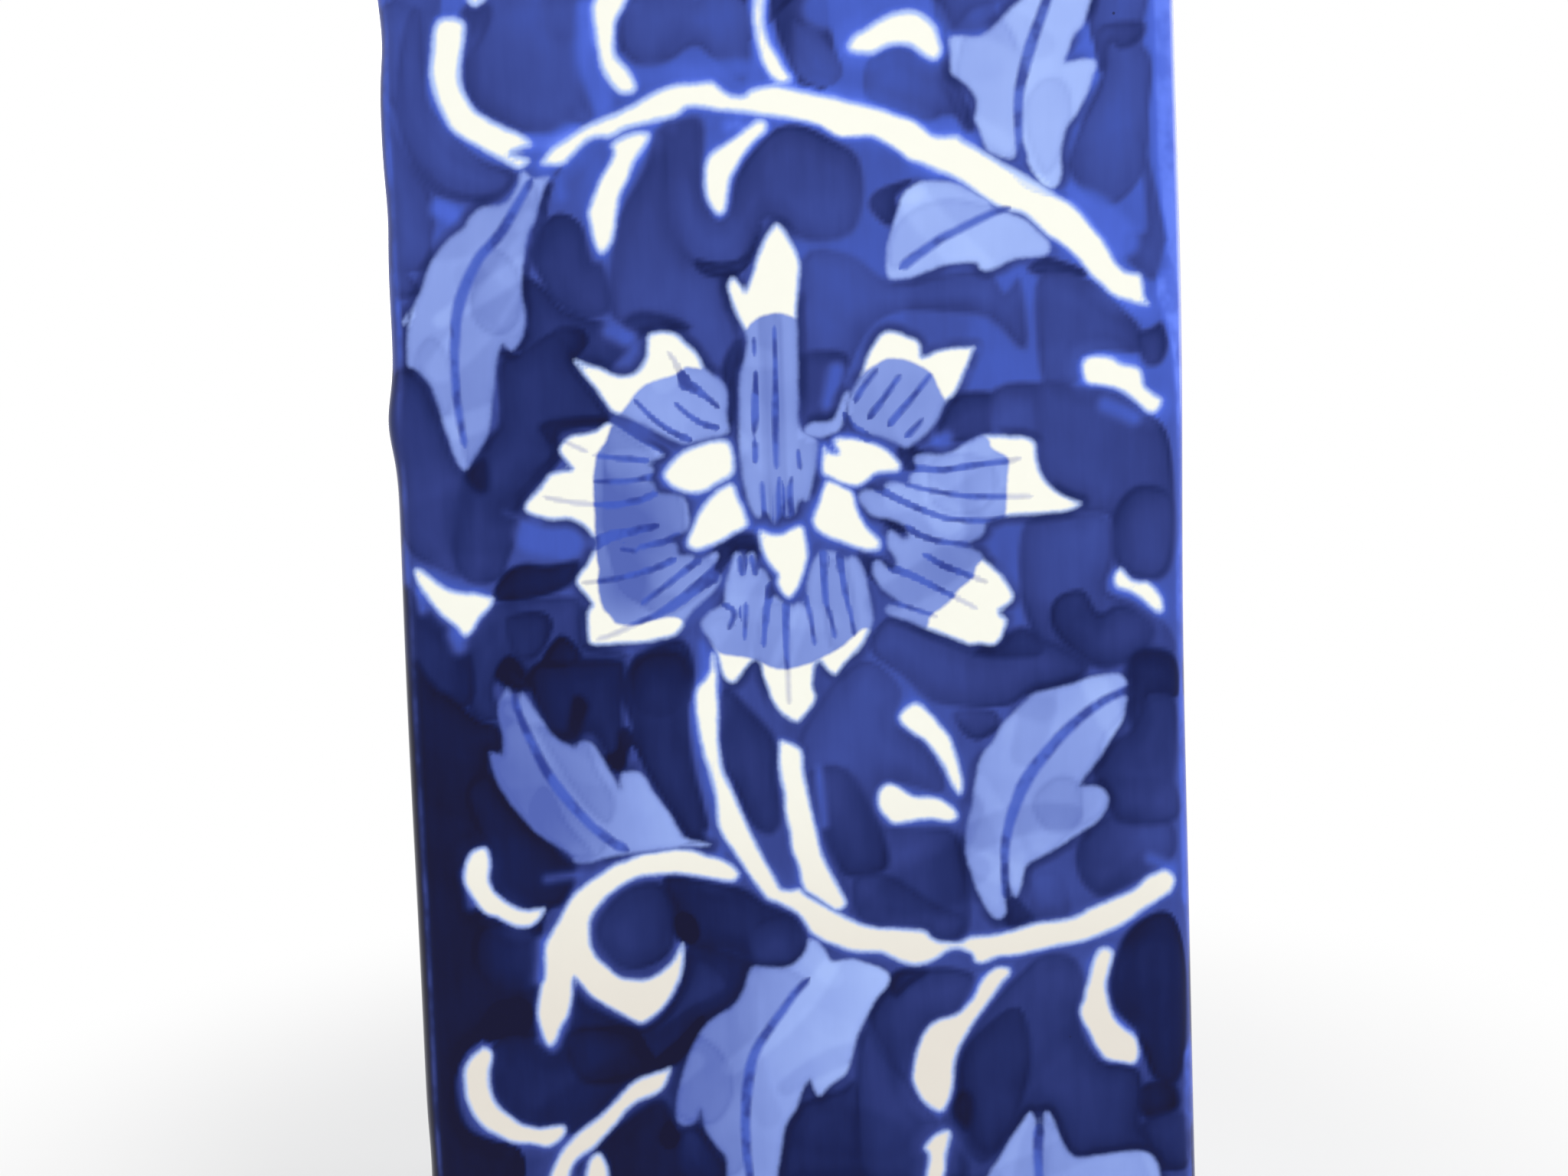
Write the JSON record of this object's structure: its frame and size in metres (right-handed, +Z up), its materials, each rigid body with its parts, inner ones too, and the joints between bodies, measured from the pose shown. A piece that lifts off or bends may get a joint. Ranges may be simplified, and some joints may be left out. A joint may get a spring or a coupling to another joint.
{
  "type": "umbrella stand",
  "caption": "Square-section glazed ceramic umbrella stand: mitred slab walls on a floor slab, overhanging rim, inset unglazed foot and one open well for umbrellas and canes.",
  "frame": {"origin": "on the surface that the stand rests on, under the middle of its square plan", "axes": "+Z up along the stand's height, -Y out of the front wall, +X to the right of someone who faces the front wall"},
  "size_m": [0.208, 0.208, 0.47],
  "materials": {
    "painted_glaze": "cobalt blue painting under a clear gloss glaze",
    "white_glaze": "clear gloss glaze over white porcelain",
    "bare_clay": "unglazed, matt"
  },
  "bodies": {
    "root": {"front_wall": "painted_glaze", "right_wall": "painted_glaze", "back_wall": "painted_glaze", "left_wall": "painted_glaze", "front_rim": "white_glaze", "right_rim": "white_glaze", "back_rim": "white_glaze", "left_rim": "white_glaze", "floor_slab": "white_glaze", "front_foot": "bare_clay", "right_foot": "bare_clay", "back_foot": "bare_clay", "left_foot": "bare_clay", "front_left_coil": "white_glaze", "front_right_coil": "white_glaze", "back_right_coil": "white_glaze", "back_left_coil": "white_glaze", "front_floor_coil": "white_glaze", "right_floor_coil": "white_glaze", "back_floor_coil": "white_glaze", "left_floor_coil": "white_glaze"}
  },
  "joints": []
}
